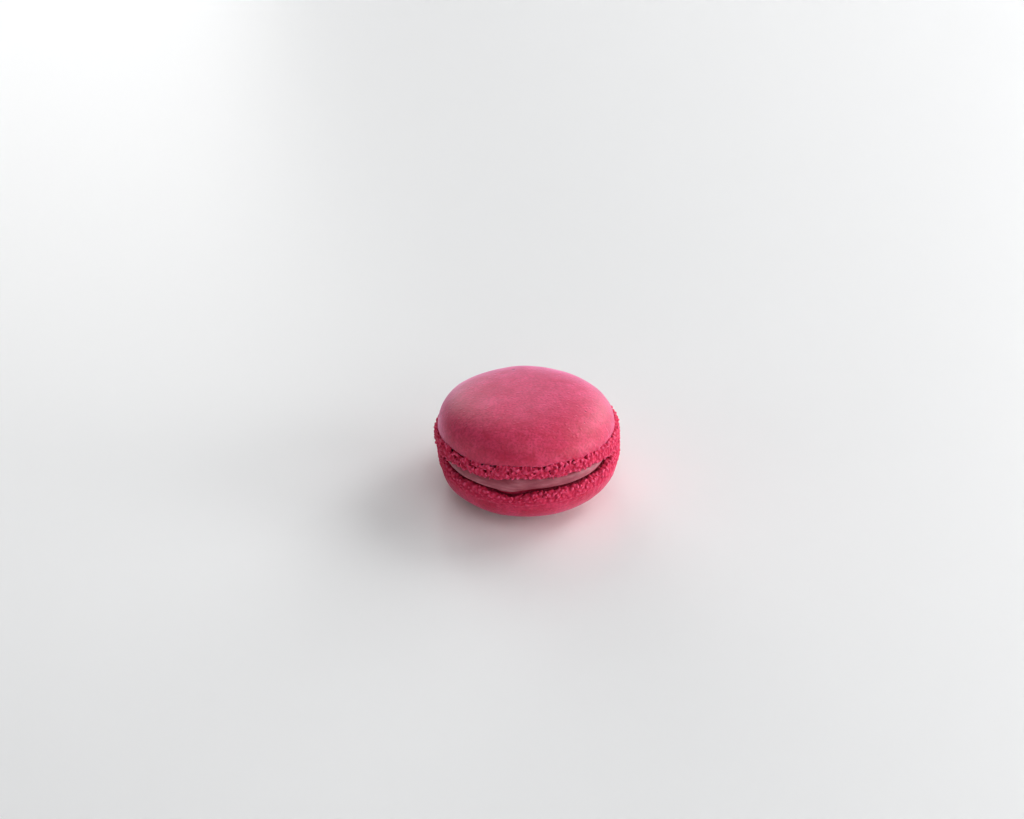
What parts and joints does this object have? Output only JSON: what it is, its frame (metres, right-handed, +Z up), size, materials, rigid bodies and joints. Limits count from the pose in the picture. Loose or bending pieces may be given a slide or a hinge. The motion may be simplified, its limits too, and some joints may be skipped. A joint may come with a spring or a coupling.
{
  "type": "french macaron",
  "caption": "Round almond sandwich biscuit: two smooth domed shells with ruffled feet and a soft filling that shows most at the front.",
  "frame": {"origin": "middle of the bounding box, on the table that the lower shell rests on", "axes": "+Z up, through both shells; -Y is the front, where the shells part and the filling shows; +X is to the right seen from the front"},
  "size_m": [0.0478, 0.0474, 0.0283],
  "materials": {
    "shell": "satin baked meringue skin with a crumbly, deeper coloured foot",
    "filling": "soft smeared cream with a dull sheen"
  },
  "bodies": {
    "root": {"shell_bottom": "shell", "filling": "filling", "shell_top": "shell"}
  },
  "joints": []
}
